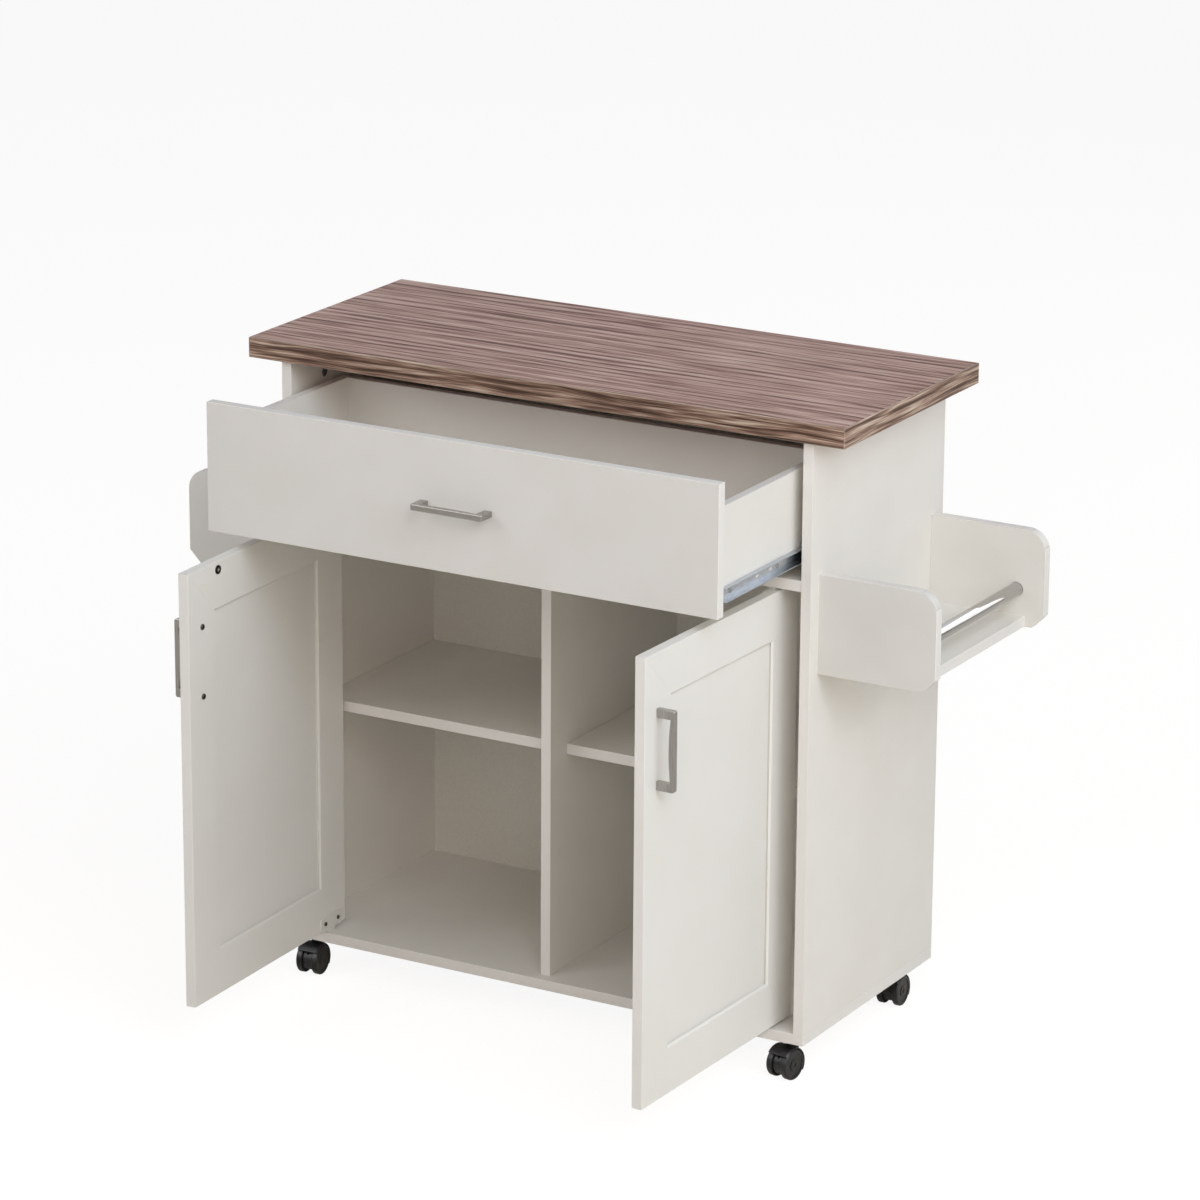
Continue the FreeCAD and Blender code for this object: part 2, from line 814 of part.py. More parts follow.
def door_frame():
    """Two rails and two stiles, mitred at the corners, grooved for the panel."""
    rail = frame_member(door_width)
    stile = frame_member(door_height)
    low = rail.copy()
    high = rail.copy()
    high.rotate(V(), BACK, 180)
    high.translate(V(door_width, 0, door_height))
    hinge_side = stile.copy()
    hinge_side.rotate(V(), BACK, 90)
    hinge_side.translate(UP * door_height)
    free_side = stile.copy()
    free_side.rotate(V(), BACK, -90)
    free_side.translate(RIGHT * door_width)
    cutters = [pan_hole(machine_shank, door_thickness, seat, way) for seat, way in handle_seats()]
    cutters += [small_pan_hole(seat, way) for seat, way in pivot_seats()]
    cutters.append(small_flat_hole(strike_seat(), BACK))
    return [member.cut(cutters) for member in (low, high, hinge_side, free_side)]


def door_panel():
    """Flat panel in the grooves of the frame."""
    edge = frame_flat + frame_bevel - panel_tongue
    return [block(edge, door_width - edge, frame_recess, door_thickness - frame_recess,
                  edge, door_height - edge)]


def pivot():
    """Lower pivot: plate on the inner face, foot under the edge, and the pin."""
    x = pivot_from_edge
    face = door_thickness + pivot_plate
    plate = softened(block(x - pivot_plate_width / 2, x + pivot_plate_width / 2,
                           door_thickness, face, 0, pivot_plate_height),
                     pivot_plate_corner, BACK)
    thick = door_end_gap - pivot_foot_gap
    foot = block(x - pivot_foot_width / 2, x + pivot_foot_width / 2,
                 pivot_depth - pivot_foot_front, face, -thick, 0)
    pin = rod(pivot_pin, V(x, pivot_depth, -thick),
              V(x, pivot_depth, -door_end_gap - pivot_pin_reach))
    holes = [small_pan_hole(seat, way) for seat, way in pivot_seats()]
    return plate.fuse([foot, pin]).removeSplitter().cut(holes)


def door_pivots():
    """Both pivots of a door."""
    low = pivot()
    high = low.mirror(UP * (door_height / 2), UP)
    return [low, high]


def door_strike():
    """Steel strike plate for the magnet."""
    face = strike_seat()
    disc = rod(strike_diameter, face - BACK * strike_thickness, face)
    return [disc.cut(small_flat_hole(face, BACK))]


def handle():
    """Bow handle along X, its feet on Y = 0 and its grip toward the front."""
    half = (handle_pitch + handle_foot) / 2
    inner = (handle_pitch - handle_foot) / 2
    out = -handle_projection
    low = -handle_width / 2
    points = [V(-inner, 0, low), V(-half, 0, low), V(-half, out, low), V(half, out, low),
              V(half, 0, low), V(inner, 0, low)]
    near = V(inner, out + grip_end, low)
    far = V(-inner, out + grip_end, low)
    bow = Part.Arc(near, V(0, out + grip_middle, low), far)
    sides = [Part.makeLine(a, b) for a, b in zip(points, points[1:])]
    sides += [Part.makeLine(points[-1], near), bow.toShape(), Part.makeLine(far, points[0])]
    shape = Part.Face(Part.Wire(sides)).extrude(UP * handle_width)
    corners = [edge for edge in shape.Edges
               if along(edge, UP) and edge.BoundBox.YMax < out * (1 - near_share)]
    shape = shape.makeFillet(handle_corner, corners)
    rims = [edge for edge in shape.Edges
            if edge.BoundBox.YMin < out * near_share and not along(edge, UP)]
    shape = shape.makeFillet(handle_soften, rims)
    bores = []
    for x in (-handle_pitch / 2, handle_pitch / 2):
        bores.append(rod(machine_shank + 2 * screw_play, V(x, overrun, 0),
                         V(x, -machine_bite - screw_play, 0)))
    return shape.cut(bores)


def door_handle():
    """Upright handle on the outer face of a door."""
    upright = handle()
    upright.rotate(V(), BACK, 90)
    x = door_width - door_handle_from_edge
    upright.translate(V(x, 0, door_handle_level - door_end_gap))
    return [upright]


def door_screws():
    """Screws of a door's handle, pivots and strike plate."""
    length = door_thickness + machine_bite
    screws = [pan_screw(machine_head, machine_rise, machine_shank, length, seat, way)
              for seat, way in handle_seats()]
    screws += [small_pan(seat, way) for seat, way in pivot_seats()]
    screws.append(small_flat(strike_seat(), BACK))
    return screws


# Drawer, modelled shut and then pulled out

def drawer_low():
    """Lower edge of the drawer box."""
    return shelf_top + drawer_box_rise


def box_half():
    """Half the outer width of the drawer box."""
    return half_inside - slide_gap


def base_slot(y0, y1):
    """Cutter for the groove that holds the drawer's base."""
    reach = box_half() - drawer_wall + drawer_base_groove
    low = drawer_low() + drawer_base_rise
    return block(-reach, reach, y0, y1, low - groove_play, low + drawer_base + groove_play)


def drawer_handle_seats():
    """Handle screws on the inner face of the drawer front."""
    middle = (shelf_top + drawer_bottom_gap + worktop_low - drawer_top_gap) / 2
    sides = (-handle_pitch / 2, handle_pitch / 2)
    return [(V(x, front + board, middle), BACK) for x in sides]


def drawer_front():
    """Inset front, with an even gap round it."""
    half = half_inside - drawer_side_gap
    slab = softened(block(-half, half, front, front + board,
                          shelf_top + drawer_bottom_gap, worktop_low - drawer_top_gap),
                    edge_soften)
    cutters = [pan_hole(machine_shank, board, seat, way) for seat, way in drawer_handle_seats()]
    cutters.append(base_slot(front + board - drawer_base_groove, front + board + overrun))
    return slab.cut(cutters)


def drawer_rear():
    """Rear of the drawer box."""
    return front + board + drawer_box_length


def drawer_back_screws():
    """Screws through the left drawer side into the drawer's back."""
    low = drawer_low() + drawer_base_rise + drawer_base
    high = drawer_low() + drawer_box_height
    step = (high - low) * rack_screw_share
    y = drawer_rear() - drawer_wall / 2
    return [(V(-box_half(), y, z), -RIGHT) for z in (low + step, high - step)]


def runner_places(shifts):
    """Places on the web of the left runner, at shifts from its front."""
    x = -box_half() - slide_wall
    return [V(x, front + slide_start + shift, slide_level()) for shift in shifts]


def runner_screw_places():
    """Screws of the left runner, at its ends and in its middle."""
    return runner_places((runner_screw_end, slide_length / 2, slide_length - runner_screw_end))


def runner_hole_places():
    """Open holes of the left runner."""
    return runner_places((runner_hole_start, runner_hole_start + runner_hole_pitch))


def drawer_side():
    """Left side of the drawer box."""
    x0 = -box_half()
    side = softened(block(x0, x0 + drawer_wall, front + board, drawer_rear(),
                          drawer_low(), drawer_low() + drawer_box_height), edge_soften, BACK)
    cutters = [base_slot(front, drawer_rear() + overrun)]
    cutters += [small_pan_hole(seat, way) for seat, way in drawer_back_screws()]
    cutters += [small_pan_hole(seat, -RIGHT) for seat in runner_screw_places()]
    return side.cut(cutters)


def drawer_back():
    """Back of the drawer box, standing on the base."""
    half = box_half() - drawer_wall
    slab = softened(block(-half, half, drawer_rear() - drawer_wall, drawer_rear(),
                          drawer_low() + drawer_base_rise + drawer_base,
                          drawer_low() + drawer_box_height), edge_soften, RIGHT)
    holes = both_sides([small_pan_hole(seat, way) for seat, way in drawer_back_screws()])
    return slab.cut(holes)


def drawer_bottom():
    """Thin base in the grooves of the drawer."""
    half = box_half() - drawer_wall + drawer_base_groove - groove_play
    low = drawer_low() + drawer_base_rise
    return block(-half, half, front + board - drawer_base_groove + groove_play, drawer_rear(),
                 low, low + drawer_base)


def drawer_handle():
    """Level handle in the middle of the drawer front."""
    seats = drawer_handle_seats()
    return moved(handle(), V(0, front, seats[0][0].z))


def drawer_screws():
    """Screws of the drawer's handle, back and runners."""
    length = board + machine_bite
    screws = [pan_screw(machine_head, machine_rise, machine_shank, length, seat, way)
              for seat, way in drawer_handle_seats()]
    left = [small_pan(seat, way) for seat, way in drawer_back_screws()]
    left += [small_pan(seat, -RIGHT) for seat in runner_screw_places()]
    return group(screws + both_sides(left))


# Slides

def slide_channel():
    """Left channel, on the side panel, open toward the drawer, with turned lips."""
    x0 = -half_inside
    x1 = x0 + channel_depth
    y0 = front + slide_start
    z0 = slide_level() - channel_height / 2
    z1 = z0 + channel_height
    wall = slide_wall
    section = [V(x0, y0, z0), V(x1, y0, z0), V(x1, y0, z0 + wall + channel_lip),
               V(x1 - wall, y0, z0 + wall + channel_lip), V(x1 - wall, y0, z0 + wall),
               V(x0 + wall, y0, z0 + wall), V(x0 + wall, y0, z1 - wall),
               V(x1 - wall, y0, z1 - wall), V(x1 - wall, y0, z1 - wall - channel_lip),
               V(x1, y0, z1 - wall - channel_lip), V(x1, y0, z1), V(x0, y0, z1)]
    shape = prism(section, BACK * slide_length)
    rims = [edge for edge in shape.Edges if along(edge, BACK)
            and edge.BoundBox.XMin > x1 - wall * near_share
            and abs(edge.BoundBox.ZMin - slide_level()) > channel_height / 2 - wall * near_share]
    shape = shape.makeFillet(wall * crown_share, rims)
    return shape.cut([small_flat_hole(place, way) for place, way in channel_screws()])


def slotted_hole(place):
    """Cutter for a hole in the runner's web, longer along the runner."""
    reach = BACK * (runner_hole_slot / 2)
    ends = [rod(runner_hole, place + shift - RIGHT * overrun, place + shift + RIGHT * overrun)
            for shift in (-reach, reach)]
    half = runner_hole / 2
    middle = block(place.x - overrun, place.x + overrun,
                   place.y - reach.y, place.y + reach.y, place.z - half, place.z + half)
    return ends[0].fuse([ends[1], middle])


def slide_runner():
    """Left runner, on the drawer side, open toward the side panel."""
    x0 = -box_half()
    y0 = front + slide_start
    z0 = slide_level() - runner_height / 2
    z1 = z0 + runner_height
    outer = block(x0 - runner_depth, x0, y0, y0 + slide_length, z0, z1)
    rims = [edge for edge in outer.Edges if along(edge, BACK)
            and edge.BoundBox.XMax > x0 - near_share * runner_depth]
    outer = outer.makeFillet(runner_round, rims)
    hollow = block(x0 - runner_depth - overrun, x0 - slide_wall, y0 - overrun,
                   y0 + slide_length + overrun, z0 + slide_wall, z1 - slide_wall)
    cutters = [hollow]
    cutters += [pan_hole(small_shank, small_length, seat, -RIGHT)
                for seat in runner_screw_places()]
    cutters += [slotted_hole(seat) for seat in runner_hole_places()]
    return outer.cut(cutters)


def ball_rows():
    """Middles of the balls of the left cage, drawer shut."""
    x = -half_inside + slide_wall + cage_web_gap + cage_wall + cage_flange / 2
    middle = front + slide_start + cage_home
    room = (channel_height - 2 * slide_wall - runner_height) / 4
    first = middle - ball_pitch * (balls_in_row - 1) / 2
    rise = runner_height / 2 + room
    return [V(x, first + i * ball_pitch, slide_level() + side * rise)
            for side in (-1, 1) for i in range(balls_in_row)]


def slide_cage():
    """Left ball cage between channel and runner, with its balls."""
    x0 = -half_inside + slide_wall + cage_web_gap
    x1 = x0 + cage_wall + cage_flange
    middle = front + slide_start + cage_home
    y0 = middle - cage_length / 2
    y1 = middle + cage_length / 2
    room = (channel_height - 2 * slide_wall - runner_height) / 4
    rise = runner_height / 2 + room + cage_wall / 2
    low = slide_level() - rise
    high = slide_level() + rise
    outer = block(x0, x1, y0, y1, low, high)
    hollow = block(x0 + cage_wall, x1 + overrun, y0 - overrun, y1 + overrun,
                   low + cage_wall, high - cage_wall)
    balls = [Part.makeSphere(ball_diameter / 2, place) for place in ball_rows()]
    holes = [rod(ball_diameter + 2 * ball_hole_play, place - UP * cage_wall, place + UP * cage_wall)
             for place in ball_rows()]
    return [outer.cut([hollow] + holes)] + balls


# Casters, modelled with the swivel axis on Z and the wheels toward the front

def caster_plates():
    """Plates with their swivel stems, under the bottom board."""
    half = caster_plate / 2
    low = bottom_low - caster_plate_thickness
    solids = []
    for stem in caster_stems().values():
        plate = softened(block(stem.x - half, stem.x + half, stem.y - half, stem.y + half,
                               low, bottom_low), plate_corner, UP)
        post = rod(stem_diameter, stem + UP * (low - swivel_gap - stem_reach), stem + UP * low)
        holes = [small_flat_hole(seat, way) for seat, way in caster_screws()]
        solids.append(plate.fuse(post).cut(holes))
    return group(solids)


def caster_hood():
    """Round hood over both wheels, with a neck round the stem and a web between the wheels.
    The side away from the stem is open, so that the treads and a lower web show."""
    top = bottom_low - caster_plate_thickness - swivel_gap
    axle = V(0, -trail, wheel_radius)
    half = hood_web / 2 + wheel_gap + wheel_width
    wrap = wheel_radius + well_gap + hood_roof
    shell = rod(2 * wrap, axle - RIGHT * half, axle + RIGHT * half)
    rims = [edge for edge in shell.Edges if edge.BoundBox.XLength < half * near_share]
    shell = shell.makeFillet(hood_round, rims)
    shell = shell.fuse(rod(hood_neck, UP * axle.z, UP * top))
    reach = wrap + overrun
    cutters = [block(-half - overrun, half + overrun, axle.y - reach, axle.y + reach,
                     axle.z - reach, hood_clearance)]
    cutters.append(rod(axle_diameter, axle - RIGHT * half, axle + RIGHT * half))
    for side in (-1, 1):
        inner = axle + RIGHT * (side * hood_web / 2)
        outer = axle + RIGHT * (side * (half + overrun))
        cutters.append(rod(2 * (wheel_radius + well_gap), inner, outer))
    cutters.append(rod(stem_diameter + 2 * stem_play, UP * (top - stem_reach - stem_play),
                       UP * (top + overrun)))
    mouth = block(-half - overrun, half + overrun, axle.y - reach, axle.y - mouth_inset,
                  axle.z - reach, mouth_top)
    web = rod(2 * web_radius, axle - RIGHT * (hood_web / 2), axle + RIGHT * (hood_web / 2))
    cutters.append(mouth.cut(web))
    cutters.append(rod(web_hole, V(0, axle.y - reach, web_hole_level),
                       V(0, axle.y - web_hole_floor, web_hole_level)))
    return shell.cut(cutters)


def caster_axle():
    """Pin through the web, carrying both wheels."""
    half = hood_web / 2 + wheel_gap + wheel_width - dish_depth
    axle = V(0, -trail, wheel_radius)
    return rod(axle_diameter, axle - RIGHT * half, axle + RIGHT * half)


def caster_wheel(side):
    """Wheel with a rounded tread and a dished outer face."""
    inner = hood_web / 2 + wheel_gap
    axle = V(0, -trail, wheel_radius)
    start = axle + RIGHT * (side * inner)
    end = axle + RIGHT * (side * (inner + wheel_width))
    disc = rod(2 * wheel_radius, start, end)
    rims = [edge for edge in disc.Edges if edge.BoundBox.XLength < wheel_width * near_share]
    disc = disc.makeFillet(wheel_round, rims)
    dish = rod(2 * dish_radius, end - RIGHT * (side * dish_depth), end)
    hub = rod(2 * hub_radius, end - RIGHT * (side * dish_depth), end)
    bore = rod(axle_diameter + 2 * axle_play, start, end)
    return disc.cut([dish.cut(hub), bore])


def at_corner(shape, corner):
    """Set a caster piece at its corner, turned as the caster stands."""
    copy = shape.copy()
    copy.rotate(V(), UP, swivel_turns[corner])
    copy.translate(caster_stems()[corner])
    return copy


# All nodes

def carcass_nodes():
    left = {
        "side_panel_left": side_panel(),
        "shelf_left": loose_shelf(),
        "rack_left_front": rack_front(),
        "rack_left_back": rack_back(),
        "rack_left_tray": rack_tray(),
        "rack_left_bar": rack_bar(),
        "slide_channel_left": slide_channel(),
    }
    nodes = {
        "worktop": worktop(),
        "bottom_board": bottom_board(),
        "drawer_shelf": drawer_shelf(),
        "divider": divider(),
        "back_panel": back(),
        "magnetic_catches": magnetic_catches(),
        "pivot_bushes": pivot_bushes(),
        "shelf_pins": shelf_pins(),
        "cam_locks": cam_locks(),
        "carcass_screws": carcass_screws(),
        "caster_plates": caster_plates(),
    }
    for name, shape in left.items():
        nodes[name] = shape
        nodes[name.replace("left", "right")] = mirrored(shape)
    return nodes


def drawer_nodes():
    pulled = -BACK * drawer_out
    side = drawer_side()
    runner = slide_runner()
    shut = {
        "drawer_front": drawer_front(),
        "drawer_side_left": side,
        "drawer_side_right": mirrored(side),
        "drawer_back": drawer_back(),
        "drawer_bottom": drawer_bottom(),
        "drawer_handle": drawer_handle(),
        "drawer_screws": drawer_screws(),
        "slide_runner_left": runner,
        "slide_runner_right": mirrored(runner),
    }
    nodes = {name: moved(shape, pulled) for name, shape in shut.items()}
    cage = moved(group(slide_cage()), pulled * cage_travel_share)
    nodes["slide_cage_left"] = cage
    nodes["slide_cage_right"] = mirrored(cage)
    return nodes


def door_nodes():
    pieces = {
        "frame": door_piece(door_frame()),
        "panel": door_piece(door_panel()),
        "pivots": door_piece(door_pivots()),
        "strike": door_piece(door_strike()),
        "handle": door_piece(door_handle()),
        "screws": door_piece(door_screws()),
    }
    nodes = {}
    for name, shape in pieces.items():
        nodes["door_left_" + name] = shape
        nodes["door_right_" + name] = mirrored(shape)
    return nodes


def caster_nodes():
    hood = group([caster_hood(), caster_axle()])
    wheels = {"wheel_left": caster_wheel(-1), "wheel_right": caster_wheel(1)}
    nodes = {}
    for corner in caster_stems():
        nodes["caster_" + corner + "_hood"] = at_corner(hood, corner)
        for name, wheel in wheels.items():
            nodes["caster_" + corner + "_" + name] = at_corner(wheel, corner)
    return nodes


os.makedirs("parts", exist_ok=True)
for node_group in (carcass_nodes(), drawer_nodes(), door_nodes(), caster_nodes()):
    for node_name, node_shape in node_group.items():
        node_shape.exportStep(os.path.join("parts", node_name + ".step"))
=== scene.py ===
import math

import bpy
from mathutils import Matrix, Vector


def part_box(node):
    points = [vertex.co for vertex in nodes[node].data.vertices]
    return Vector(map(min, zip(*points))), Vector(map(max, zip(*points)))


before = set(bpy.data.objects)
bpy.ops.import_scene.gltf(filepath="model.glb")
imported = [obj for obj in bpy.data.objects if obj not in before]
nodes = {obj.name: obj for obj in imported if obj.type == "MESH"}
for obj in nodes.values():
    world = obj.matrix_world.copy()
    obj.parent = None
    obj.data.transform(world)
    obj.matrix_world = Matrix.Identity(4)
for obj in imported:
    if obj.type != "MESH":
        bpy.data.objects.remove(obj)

# Rolling kitchen island: the finishes of its boards, metal and plastic, a pale studio and a camera.
# Metres. X runs to the right along the front, Y runs to the back, Z runs up from the floor.

mm = 0.001
slot_of = {name: piece.material_slots[0].material.name for name, piece in nodes.items()}
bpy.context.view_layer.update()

# Sizes of the board edges, as the cabinet maker gives them
edge_band = 1.0 * mm             # thickness of the edge banding
band_joint = 0.25 * mm           # width of the glue line beside it
laminate_edge = 1.4 * mm         # rounded edge of the worktop, where the print is thin
edge_fineness = 1.5              # how much finer the print is on the edges than on top
edge_shortness = 1.5             # how much shorter its streaks are there
line_pitch = 17 * mm             # from one dark line of the print to the next
band_length = 700 * mm           # broad bands of the print, in which the lines crowd or spread
band_width = 45 * mm
band_shift = 9.0                 # how far a band moves its lines, in radians
long_bends = 300 * mm, 15 * mm   # length of the lines' bends, and their reach to each side
short_bends = 110 * mm, 4 * mm
side_print = 3.7                 # sets the print of the side edges apart from that of the front
arris_highlight_and_wear = 0.3                 # share of the pale tone on the arris: a painted highlight of the rounded edge, with the paler core where the print thins
screw_reach = 8 * mm             # how far the painted highlight on the strike screw reaches from the strike centre

# Optics, as such finishes have them
laminate_ior = 1.5
plastic_ior = 1.53


def linear(colour):
    """An sRGB colour such as #E4E1DA, turned linear."""
    parts = [int(colour[start:start + 2], 16) / 255 for start in (1, 3, 5)]
    return [part / 12.92 if part <= 0.04045 else ((part + 0.055) / 1.055) ** 2.4
            for part in parts] + [1.0]


def add(tree, kind, inputs=(), stops=(), **settings):
    """Add a node. Inputs go by name or, in a list, by order, and are values, nodes or sockets."""
    node = tree.nodes.new("ShaderNode" + kind)
    for name, value in settings.items():
        setattr(node, name, value)
    if stops:
        ramp = node.color_ramp.elements
        ramp[0].position, ramp[0].color = stops[0][0], linear(stops[0][1])
        ramp[-1].position, ramp[-1].color = stops[-1][0], linear(stops[-1][1])
        for place, colour in stops[1:-1]:
            ramp.new(place).color = linear(colour)
    shown = [socket for socket in node.inputs if socket.enabled]
    pairs = inputs.items() if isinstance(inputs, dict) else enumerate(inputs)
    for name, value in pairs:
        if isinstance(name, int):
            target = shown[name]
        else:
            target = next(socket for socket in shown if socket.name == name)
        if isinstance(value, bpy.types.Node):
            value = next(socket for socket in value.outputs if socket.enabled)
        if isinstance(value, bpy.types.NodeSocket):
            tree.links.new(value, target)
        else:
            target.default_value = value
    return node


def blank(name):
    """A new material and its empty node tree."""
    material = bpy.data.materials.new(name)
    material.use_nodes = True
    material.node_tree.nodes.clear()
    return material, material.node_tree


def near_side(tree, coordinate, low, high, reach):
    """1 within reach of either side of the piece, 0 elsewhere."""
    centre, half = (low + high) / 2, (high - low) / 2
    off = add(tree, "Math", [coordinate, centre], operation="SUBTRACT")
    far = add(tree, "Math", [off], operation="ABSOLUTE")
    return add(tree, "Math", [far, half - reach], operation="GREATER_THAN")


def walnut_laminate(node):
    """Walnut-print laminate on the worktop: dark wavy lines over pinkish brown fibres, browner,
    shorter and closer on the edges, and a pale line along the arris: a painted highlight where the
    rounded edge catches the light, with the paler core where the print thins. Low gloss."""
    low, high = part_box(node)
    material, tree = blank("walnut_print_laminate")
    place = add(tree, "TexCoord").outputs["Object"]
    x, y, z = add(tree, "SeparateXYZ", [place]).outputs
    side = near_side(tree, x, low.x, high.x, laminate_edge)
    front = near_side(tree, y, low.y, high.y, laminate_edge)
    top = near_side(tree, z, low.z, high.z, laminate_edge)
    edge = add(tree, "Math", [side, front], operation="MAXIMUM")
    along = add(tree, "Mix", {"Factor": side, "A": x, "B": y})
    across = add(tree, "Mix", {"Factor": edge, "A": y, "B": z})
    fineness = add(tree, "Mix", {"Factor": edge, "A": 1.0, "B": edge_fineness})
    across = add(tree, "Math", [across, fineness], operation="MULTIPLY")
    shortness = add(tree, "Mix", {"Factor": edge, "A": 1.0, "B": edge_shortness})
    along = add(tree, "Math", [along, shortness], operation="MULTIPLY")
    seed = add(tree, "Math", [side, side_print, edge], operation="MULTIPLY_ADD")

    def noise(across, length, width, detail):
        """Noise drawn out along the board."""
        spot = add(tree, "CombineXYZ", {
            "X": add(tree, "Math", [along, 1 / length], operation="MULTIPLY"),
            "Y": add(tree, "Math", [across, 1 / width], operation="MULTIPLY"),
            "Z": seed})
        return add(tree, "TexNoise", {"Vector": spot, "Scale": 1.0, "Detail": detail,
                                      "Roughness": 0.6})

    # The lines wander to each side along the board, in long bends and in short ones
    for length, reach in (long_bends, short_bends):
        drift = add(tree, "Math", [noise(across, length, 4 * reach, 1.0), -0.5], operation="ADD")
        across = add(tree, "Math", [drift, reach, across], operation="MULTIPLY_ADD")

    # Dark lines at an uneven pitch, each fading in and out, over broad bands and fine fibres
    phase = add(tree, "Math", [across, math.tau / line_pitch], operation="MULTIPLY")
    band = noise(across, band_length, band_width, 1.0)
    phase = add(tree, "Math", [band, band_shift, phase], operation="MULTIPLY_ADD")
    wave = add(tree, "Math", [add(tree, "Math", [phase], operation="SINE"), 0.5, 0.5],
               operation="MULTIPLY_ADD")
    line = add(tree, "Math", [wave, 2.5], operation="POWER")
    depth = add(tree, "MapRange", {"Value": noise(across, 260 * mm, 12 * mm, 2.0),
                                   "From Min": 0.38, "From Max": 0.6,
                                   "To Min": 0.1, "To Max": 1.0})
    dark = add(tree, "Math", [line, depth], operation="MULTIPLY")
    fibre = add(tree, "Mix", {"Factor": 0.55, "A": noise(across, 320 * mm, 13 * mm, 2.0),
                              "B": noise(across, 105 * mm, 3.2 * mm, 2.0)})
    grain = add(tree, "Math", [dark, -0.19, fibre], operation="MULTIPLY_ADD")
    flat_colour = add(tree, "ValToRGB", {"Fac": grain}, stops=(
        (0.32, "#5C3A2E"), (0.40, "#896155"), (0.47, "#B18B7E"), (0.53, "#C7A395"),
        (0.60, "#DBBBAE")))
    edge_colour = add(tree, "ValToRGB", {"Fac": grain}, stops=(
        (0.33, "#4A362C"), (0.42, "#6F5547"), (0.49, "#937665"), (0.55, "#B39A87"),
        (0.62, "#D2BFAD")))
    printed = add(tree, "Mix", {"Factor": edge, "A": flat_colour, "B": edge_colour},
                  data_type="RGBA")

    # A spot close to two faces or more lies on the arris. It is painted pale there: a painted
    # highlight where the rounded edge catches the light, with the paler core where the print thins
    faces = add(tree, "Math", [side, front], operation="ADD")
    faces = add(tree, "Math", [faces, top], operation="ADD")
    corner = add(tree, "Math", [faces, 1.5], operation="GREATER_THAN")
    highlit_and_worn_arris = add(tree, "Math", [corner, arris_highlight_and_wear], operation="MULTIPLY")
    colour = add(tree, "Mix", {"Factor": highlit_and_worn_arris, "A": printed, "B": linear("#CDBBAA")},
                 data_type="RGBA")
    rough = add(tree, "MapRange", {"Value": grain, "From Min": 0.35, "From Max": 0.6,
                                   "To Min": 0.48, "To Max": 0.36})
    pores = add(tree, "Bump", {"Height": grain, "Strength": 0.3, "Distance": 0.3 * mm})
    shader = add(tree, "BsdfPrincipled", {"Base Color": colour, "Roughness": rough,
                                          "Specular IOR Level": 0.35, "Normal": pores,
                                          "IOR": laminate_ior})
    add(tree, "OutputMaterial", {"Surface": shader})
    return material


def faced_board(node, low_tone, high_tone):
    """Melamine-faced chipboard: a warm off-white with a faint pearl texture, satin, and a thin
    line where the edge banding meets the face."""
    low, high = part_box(node)
    size = high - low
    thin = min(range(3), key=lambda axis: size[axis])
    material, tree = blank("melamine_" + node)
    place = add(tree, "TexCoord").outputs["Object"]
    parts = add(tree, "SeparateXYZ", [place]).outputs
    broad = [axis for axis in range(3) if axis != thin]
    outer = [near_side(tree, parts[a], low[a], high[a], edge_band + band_joint) for a in broad]
    inner = [near_side(tree, parts[a], low[a], high[a], edge_band) for a in broad]
    outer = add(tree, "Math", outer, operation="MAXIMUM")
    inner = add(tree, "Math", inner, operation="MAXIMUM")
    joint = add(tree, "Math", [outer, inner], operation="SUBTRACT")
    cloud = add(tree, "TexNoise", {"Vector": place, "Scale": 1 / (90 * mm), "Detail": 2.0})
    face = add(tree, "ValToRGB", {"Fac": cloud}, stops=((0.35, low_tone), (0.65, high_tone)))
    banded = add(tree, "Mix", {"Factor": inner, "A": face, "B": linear("#EAE7E2")},
                 data_type="RGBA")
    colour = add(tree, "Mix", {"Factor": joint, "A": banded, "B": linear("#CFCAC0")},
                 data_type="RGBA")
    pearl = add(tree, "TexNoise", {"Vector": place, "Scale": 1 / (1.4 * mm), "Detail": 2.0})
    rough = add(tree, "MapRange", {"Value": pearl, "From Min": 0.3, "From Max": 0.7,
                                   "To Min": 0.42, "To Max": 0.5})
    bump = add(tree, "Bump", {"Height": pearl, "Strength": 0.12, "Distance": 0.1 * mm})
    shader = add(tree, "BsdfPrincipled", {"Base Color": colour, "Roughness": rough,
                                          "Normal": bump, "IOR": laminate_ior})
    add(tree, "OutputMaterial", {"Surface": shader})
    return material


def foil_wrap(name):
    """White foil wrapped over the door frames: smoother than the boards, with soft highlights."""
    material, tree = blank(name)
    place = add(tree, "TexCoord").outputs["Object"]
    cloud = add(tree, "TexNoise", {"Vector": place, "Scale": 1 / (120 * mm), "Detail": 2.0})
    face = add(tree, "ValToRGB", {"Fac": cloud}, stops=((0.35, "#E8E6E0"), (0.65, "#EAE8E3")))
    skin = add(tree, "TexNoise", {"Vector": place, "Scale": 1 / (2.2 * mm), "Detail": 3.0})
    rough = add(tree, "MapRange", {"Value": skin, "From Min": 0.3, "From Max": 0.7,
                                   "To Min": 0.36, "To Max": 0.44})
    bump = add(tree, "Bump", {"Height": skin, "Strength": 0.1, "Distance": 0.1 * mm})
    shader = add(tree, "BsdfPrincipled", {"Base Color": face, "Roughness": rough,
                                          "Normal": bump, "IOR": laminate_ior})
    add(tree, "OutputMaterial", {"Surface": shader})
    return material


